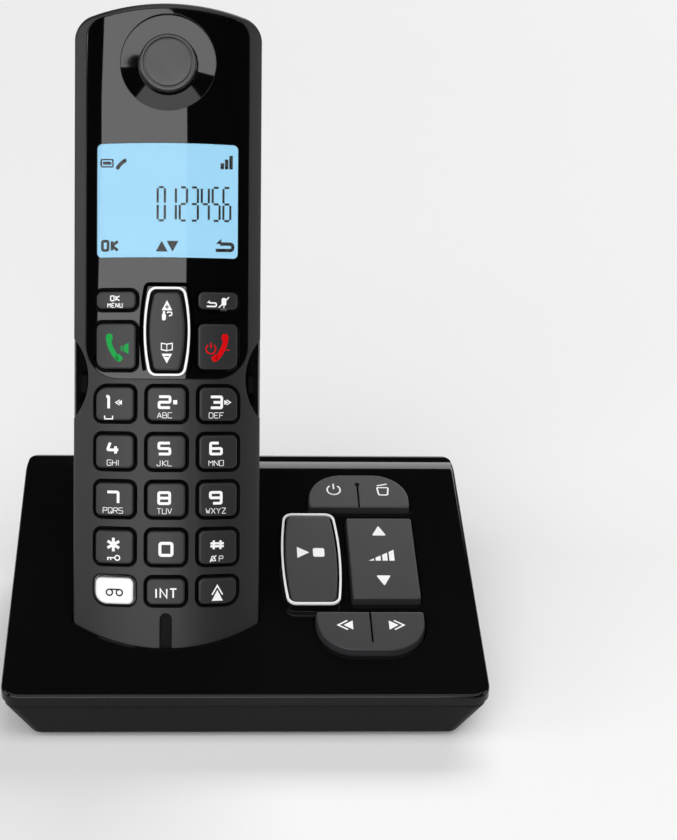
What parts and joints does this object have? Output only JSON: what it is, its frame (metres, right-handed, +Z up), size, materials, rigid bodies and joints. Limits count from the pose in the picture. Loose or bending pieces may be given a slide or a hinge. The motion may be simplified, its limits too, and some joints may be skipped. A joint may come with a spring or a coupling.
{
  "type": "cordless telephone with answering machine base",
  "caption": "Slim cordless handset with display and keypad standing in a glossy sloped base with answering machine keys, charging pins and rear line and power sockets.",
  "frame": {"origin": "on the table under the middle of the object's bounding box", "axes": "+X across the base to the side with its keys, +Y to the back, +Z up from the table"},
  "size_m": [0.12, 0.0969, 0.1646],
  "materials": {
    "case_matte": "matte dark grey moulded",
    "case_gloss": "polished black",
    "panel_gloss": "polished black",
    "window_clear": "clear",
    "display_blue": "pale blue backlit display",
    "earpiece_black": "polished black",
    "ring_white": "white",
    "key_grey": "satin dark grey",
    "key_white": "satin white",
    "key_black": "polished black",
    "base_gloss": "polished black",
    "base_matte": "matte dark grey moulded",
    "base_key_black": "satin black",
    "rubber_grey": "matte",
    "rubber_black": "matte",
    "board_green": "solder-masked board",
    "cell_sleeve": "printed sleeve",
    "spring_steel": "bright",
    "speaker_metal": "stamped frame",
    "contact_gold": "gold-flashed",
    "socket_black": "moulded"
  },
  "bodies": {
    "base": {"base_top_cover": "base_gloss", "base_housing": "base_matte", "play_ring": "ring_white", "base_board": "board_green", "base_key_mat": "rubber_grey", "base_speaker": "speaker_metal", "line_socket": "socket_black", "power_socket": "socket_black", "base_feet": "rubber_black", "base_screws": "spring_steel"},
    "handset": {"handset_front_case": "case_matte", "handset_rear_case": "case_gloss", "front_panel": "panel_gloss", "display_window": "window_clear", "lcd_module": "display_blue", "earpiece_cap": "earpiece_black", "earpiece_speaker": "speaker_metal", "nav_ring": "ring_white", "handset_board": "board_green", "key_mat": "rubber_grey", "microphone_boot": "case_gloss", "microphone": "speaker_metal", "battery_cells": "cell_sleeve", "battery_contacts": "spring_steel", "ringer_speaker": "speaker_metal", "handset_contacts": "contact_gold", "handset_screws": "spring_steel"},
    "key_1": {"key_1": "key_grey"},
    "key_2": {"key_2": "key_grey"},
    "key_3": {"key_3": "key_grey"},
    "key_4": {"key_4": "key_grey"},
    "key_5": {"key_5": "key_grey"},
    "key_6": {"key_6": "key_grey"},
    "key_7": {"key_7": "key_grey"},
    "key_8": {"key_8": "key_grey"},
    "key_9": {"key_9": "key_grey"},
    "key_star": {"key_star": "key_grey"},
    "key_0": {"key_0": "key_grey"},
    "key_hash": {"key_hash": "key_grey"},
    "key_answerphone": {"key_answerphone": "key_white"},
    "key_intercom": {"key_intercom": "key_grey"},
    "key_redial": {"key_redial": "key_grey"},
    "key_menu": {"key_menu": "key_grey"},
    "key_mute": {"key_mute": "key_grey"},
    "key_call": {"key_call": "key_grey"},
    "key_end": {"key_end": "key_grey"},
    "nav_key": {"nav_key": "key_black"},
    "battery_door": {"battery_door": "case_gloss"},
    "key_play": {"key_play": "base_key_black"},
    "key_volume": {"key_volume": "base_key_black"},
    "key_power_delete": {"key_power_delete": "base_key_black"},
    "key_skip": {"key_skip": "base_key_black"},
    "charge_pin_left": {"charge_pin_left": "contact_gold"},
    "charge_pin_right": {"charge_pin_right": "contact_gold"}
  },
  "joints": [
    {"name": "handset_lift", "type": "slide", "parent": "base", "child": "handset", "axis": [0, 0.4019, 0.9157], "range_m": [0, 0.06]},
    {"name": "key_1_press", "type": "slide", "parent": "handset", "child": "key_1", "axis": [0, 0.9157, -0.4019], "range_m": [0, 0.0008], "stiffness_N_per_m": 500},
    {"name": "key_2_press", "type": "slide", "parent": "handset", "child": "key_2", "axis": [0, 0.9157, -0.4019], "range_m": [0, 0.0008], "stiffness_N_per_m": 500},
    {"name": "key_3_press", "type": "slide", "parent": "handset", "child": "key_3", "axis": [0, 0.9157, -0.4019], "range_m": [0, 0.0008], "stiffness_N_per_m": 500},
    {"name": "key_4_press", "type": "slide", "parent": "handset", "child": "key_4", "axis": [0, 0.9157, -0.4019], "range_m": [0, 0.0008], "stiffness_N_per_m": 500},
    {"name": "key_5_press", "type": "slide", "parent": "handset", "child": "key_5", "axis": [0, 0.9157, -0.4019], "range_m": [0, 0.0008], "stiffness_N_per_m": 500},
    {"name": "key_6_press", "type": "slide", "parent": "handset", "child": "key_6", "axis": [0, 0.9157, -0.4019], "range_m": [0, 0.0008], "stiffness_N_per_m": 500},
    {"name": "key_7_press", "type": "slide", "parent": "handset", "child": "key_7", "axis": [0, 0.9157, -0.4019], "range_m": [0, 0.0008], "stiffness_N_per_m": 500},
    {"name": "key_8_press", "type": "slide", "parent": "handset", "child": "key_8", "axis": [0, 0.9157, -0.4019], "range_m": [0, 0.0008], "stiffness_N_per_m": 500},
    {"name": "key_9_press", "type": "slide", "parent": "handset", "child": "key_9", "axis": [0, 0.9157, -0.4019], "range_m": [0, 0.0008], "stiffness_N_per_m": 500},
    {"name": "key_star_press", "type": "slide", "parent": "handset", "child": "key_star", "axis": [0, 0.9157, -0.4019], "range_m": [0, 0.0008], "stiffness_N_per_m": 500},
    {"name": "key_0_press", "type": "slide", "parent": "handset", "child": "key_0", "axis": [0, 0.9157, -0.4019], "range_m": [0, 0.0008], "stiffness_N_per_m": 500},
    {"name": "key_hash_press", "type": "slide", "parent": "handset", "child": "key_hash", "axis": [0, 0.9157, -0.4019], "range_m": [0, 0.0008], "stiffness_N_per_m": 500},
    {"name": "key_answerphone_press", "type": "slide", "parent": "handset", "child": "key_answerphone", "axis": [0, 0.9157, -0.4019], "range_m": [0, 0.0008], "stiffness_N_per_m": 500},
    {"name": "key_intercom_press", "type": "slide", "parent": "handset", "child": "key_intercom", "axis": [0, 0.9157, -0.4019], "range_m": [0, 0.0008], "stiffness_N_per_m": 500},
    {"name": "key_redial_press", "type": "slide", "parent": "handset", "child": "key_redial", "axis": [0, 0.9157, -0.4019], "range_m": [0, 0.0008], "stiffness_N_per_m": 500},
    {"name": "key_menu_press", "type": "slide", "parent": "handset", "child": "key_menu", "axis": [0, 0.9157, -0.4019], "range_m": [0, 0.0008], "stiffness_N_per_m": 500},
    {"name": "key_mute_press", "type": "slide", "parent": "handset", "child": "key_mute", "axis": [0, 0.9157, -0.4019], "range_m": [0, 0.0008], "stiffness_N_per_m": 500},
    {"name": "key_call_press", "type": "slide", "parent": "handset", "child": "key_call", "axis": [0, 0.9157, -0.4019], "range_m": [0, 0.0008], "stiffness_N_per_m": 500},
    {"name": "key_end_press", "type": "slide", "parent": "handset", "child": "key_end", "axis": [0, 0.9157, -0.4019], "range_m": [0, 0.0008], "stiffness_N_per_m": 500},
    {"name": "nav_key_rock", "type": "hinge", "parent": "handset", "child": "nav_key", "pos_m": [-0.02, 0.00164, 0.08922], "axis": [1, 0, 0], "range_deg": [-3.5, 3.5], "stiffness_Nm_per_rad": 0.05},
    {"name": "battery_door_off", "type": "slide", "parent": "handset", "child": "battery_door", "axis": [0, 0.9157, -0.4019], "range_m": [0, 0.012]},
    {"name": "key_play_press", "type": "slide", "parent": "base", "child": "key_play", "axis": [0, 0.2924, -0.9563], "range_m": [0, 0.001], "stiffness_N_per_m": 500},
    {"name": "key_volume_rock", "type": "hinge", "parent": "base", "child": "key_volume", "pos_m": [0.0366, -0.00546, 0.026], "axis": [1, 0, 0], "range_deg": [-3, 3], "stiffness_Nm_per_rad": 0.05},
    {"name": "key_power_delete_rock", "type": "hinge", "parent": "base", "child": "key_power_delete", "pos_m": [0.0318, 0.01821, 0.03323], "axis": [0, 0.9563, 0.2924], "range_deg": [-2.5, 2.5], "stiffness_Nm_per_rad": 0.05},
    {"name": "key_skip_rock", "type": "hinge", "parent": "base", "child": "key_skip", "pos_m": [0.0318, -0.02942, 0.01867], "axis": [0, 0.9563, 0.2924], "range_deg": [-2.5, 2.5], "stiffness_Nm_per_rad": 0.05},
    {"name": "charge_pin_left_press", "type": "slide", "parent": "base", "child": "charge_pin_left", "axis": [0, -0.4019, -0.9157], "range_m": [0, 0.0008], "stiffness_N_per_m": 400},
    {"name": "charge_pin_right_press", "type": "slide", "parent": "base", "child": "charge_pin_right", "axis": [0, -0.4019, -0.9157], "range_m": [0, 0.0008], "stiffness_N_per_m": 400}
  ]
}
